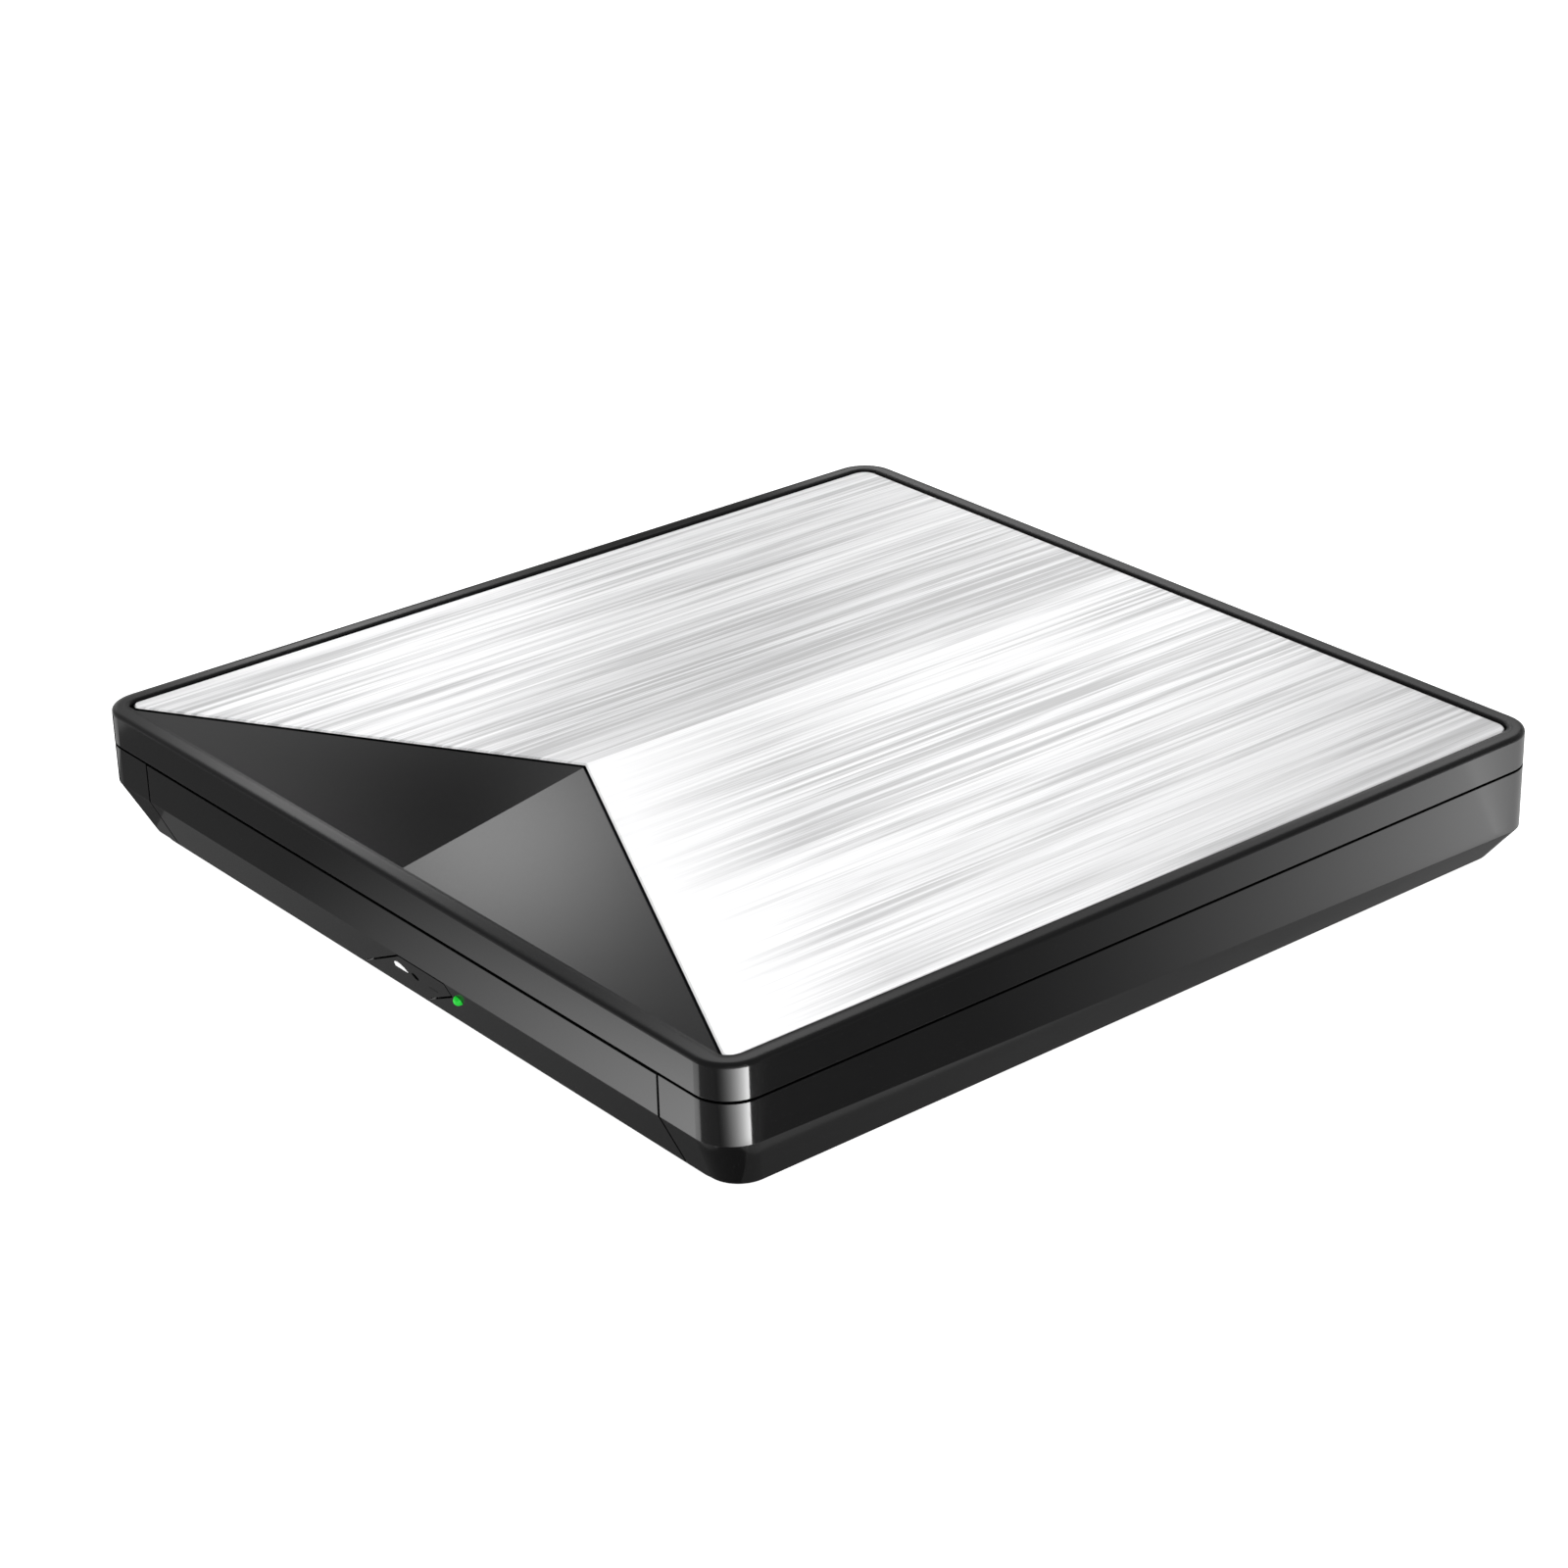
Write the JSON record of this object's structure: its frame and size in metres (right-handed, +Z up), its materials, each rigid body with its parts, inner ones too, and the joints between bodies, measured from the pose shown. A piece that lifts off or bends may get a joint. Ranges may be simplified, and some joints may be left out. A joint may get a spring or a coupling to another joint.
{
  "type": "external optical drive",
  "caption": "Slim square external disc drive in a black case with a notched brushed metal top, a sliding disc tray with eject button, and a rear data socket.",
  "frame": {"origin": "on the surface the feet stand on, under the middle of the case", "axes": "+Z up, +Y to the back of the drive, +X to the right as one faces the tray front"},
  "size_m": [0.152, 0.1536, 0.021],
  "materials": {
    "case_plastic": "satin",
    "bezel_plastic": "satin",
    "tray_plastic": "fine spark texture",
    "panel_aluminium": "brushed, bevelled edge polished",
    "pan_steel": "zinc plated sheet",
    "slide_steel": "satin",
    "polished_steel": "polished",
    "screw_steel": "black oxide",
    "rubber_black": "matt",
    "foam_grey": "open cell foam",
    "rail_plastic": "natural acetal",
    "board_green": "solder mask",
    "chip_black": "moulded epoxy",
    "connector_plastic": "moulded",
    "cover_black": "matt",
    "rotor_steel": "turned",
    "hub_plastic": "smooth",
    "claw_plastic": "smooth acetal",
    "sled_metal": "die cast",
    "holder_plastic": "smooth",
    "lens_glass": "coated",
    "mark_white": "printed",
    "light_clear": "lit green",
    "led_white": "moulded",
    "ribbon_plastic": "polyester film",
    "spring_steel": "drawn wire"
  },
  "bodies": {
    "case": {"top_cover": "case_plastic", "top_panel": "panel_aluminium", "bottom_cover": "case_plastic", "rubber_feet": "rubber_black", "case_screws": "screw_steel", "drive_pan": "pan_steel", "drive_lid": "pan_steel", "lid_screws": "screw_steel", "foam_pads": "foam_grey", "right_guide_rail": "rail_plastic", "left_guide_rail": "rail_plastic", "main_board": "board_green", "main_board_chips": "chip_black", "ribbon_cable": "ribbon_plastic", "drive_connector": "connector_plastic", "bridge_connector": "connector_plastic", "bridge_board": "board_green", "bridge_board_chips": "chip_black", "bridge_screws": "screw_steel", "usb_socket_shell": "polished_steel", "usb_socket_tongue": "connector_plastic", "eject_pusher": "rail_plastic", "eject_spring": "spring_steel"},
    "tray_unit": {"tray": "tray_plastic", "tray_shield": "pan_steel", "front_bezel": "bezel_plastic", "tray_board": "board_green", "eject_switch": "connector_plastic", "status_led": "led_white", "light_pipe": "light_clear", "traverse_base": "pan_steel", "traverse_cover": "cover_black", "damper_bushings": "rubber_black", "traverse_screws": "screw_steel", "spindle_motor": "rotor_steel", "main_guide_rod": "polished_steel", "sub_guide_rod": "polished_steel", "sled_motor": "rotor_steel", "screw_bracket": "pan_steel", "latch_pin": "polished_steel", "solenoid": "slide_steel"},
    "right_runner": {"right_slide": "slide_steel"},
    "left_runner": {"left_slide": "slide_steel"},
    "eject_button": {"eject_button": "bezel_plastic", "switch_plunger": "rail_plastic", "button_mark": "mark_white"},
    "rotor": {"spindle_rotor": "rotor_steel", "turntable": "rotor_steel", "turntable_pad": "rubber_black", "clamp_hub": "hub_plastic"},
    "claw_1": {"clamp_claw_1": "claw_plastic"},
    "claw_2": {"clamp_claw_2": "claw_plastic"},
    "claw_3": {"clamp_claw_3": "claw_plastic"},
    "pickup_sled": {"sled": "sled_metal", "sled_nut": "rail_plastic"},
    "lens_unit": {"lens_holder": "holder_plastic", "objective_lens": "lens_glass"},
    "lead_screw": {"lead_screw": "polished_steel"},
    "latch_lever": {"latch_lever": "slide_steel"}
  },
  "joints": [
    {"name": "tray_slide", "type": "slide", "parent": "case", "child": "tray_unit", "axis": [0, -1, 0], "range_m": [0, 0.128], "deforming": ["ribbon_cable"]},
    {"name": "right_runner_slide", "type": "slide", "parent": "case", "child": "right_runner", "axis": [0, -1, 0], "range_m": [0, 0.064]},
    {"name": "left_runner_slide", "type": "slide", "parent": "case", "child": "left_runner", "axis": [0, -1, 0], "range_m": [0, 0.064]},
    {"name": "spindle_spin", "type": "hinge", "parent": "tray_unit", "child": "rotor", "pos_m": [0, -0.0093, 0.0117], "axis": [0, 0, 1], "continuous": true},
    {"name": "claw_1_press", "type": "slide", "parent": "rotor", "child": "claw_1", "axis": [-1, 0, 0], "range_m": [0, 0.00055], "stiffness_N_per_m": 300},
    {"name": "claw_2_press", "type": "slide", "parent": "rotor", "child": "claw_2", "axis": [0.5, -0.866, 0], "range_m": [0, 0.00055], "stiffness_N_per_m": 300},
    {"name": "claw_3_press", "type": "slide", "parent": "rotor", "child": "claw_3", "axis": [0.5, 0.866, 0], "range_m": [0, 0.00055], "stiffness_N_per_m": 300},
    {"name": "sled_travel", "type": "slide", "parent": "tray_unit", "child": "pickup_sled", "axis": [-0.7071, -0.7071, 0], "range_m": [0, 0.034]},
    {"name": "lead_screw_turn", "type": "hinge", "parent": "tray_unit", "child": "lead_screw", "pos_m": [-0.01103, 0.00173, 0.00825], "axis": [-0.7071, -0.7071, 0], "range_deg": [0, 4080.5]},
    {"name": "lens_focus", "type": "slide", "parent": "pickup_sled", "child": "lens_unit", "axis": [0, 0, 1], "range_m": [-0.0004, 0.0004], "stiffness_N_per_m": 60},
    {"name": "eject_press", "type": "slide", "parent": "tray_unit", "child": "eject_button", "axis": [0, 1, 0], "range_m": [0, 0.0006], "stiffness_N_per_m": 900},
    {"name": "latch_swing", "type": "hinge", "parent": "tray_unit", "child": "latch_lever", "pos_m": [0.051, -0.064, 0.0068], "axis": [0, 0, 1], "range_deg": [0, 36]}
  ],
  "couplings": [
    {"joint": "right_runner_slide", "follows": "tray_slide", "ratio": 0.5},
    {"joint": "left_runner_slide", "follows": "tray_slide", "ratio": 0.5},
    {"joint": "lead_screw_turn", "follows": "sled_travel", "rad_per_m": 2094.4}
  ]
}
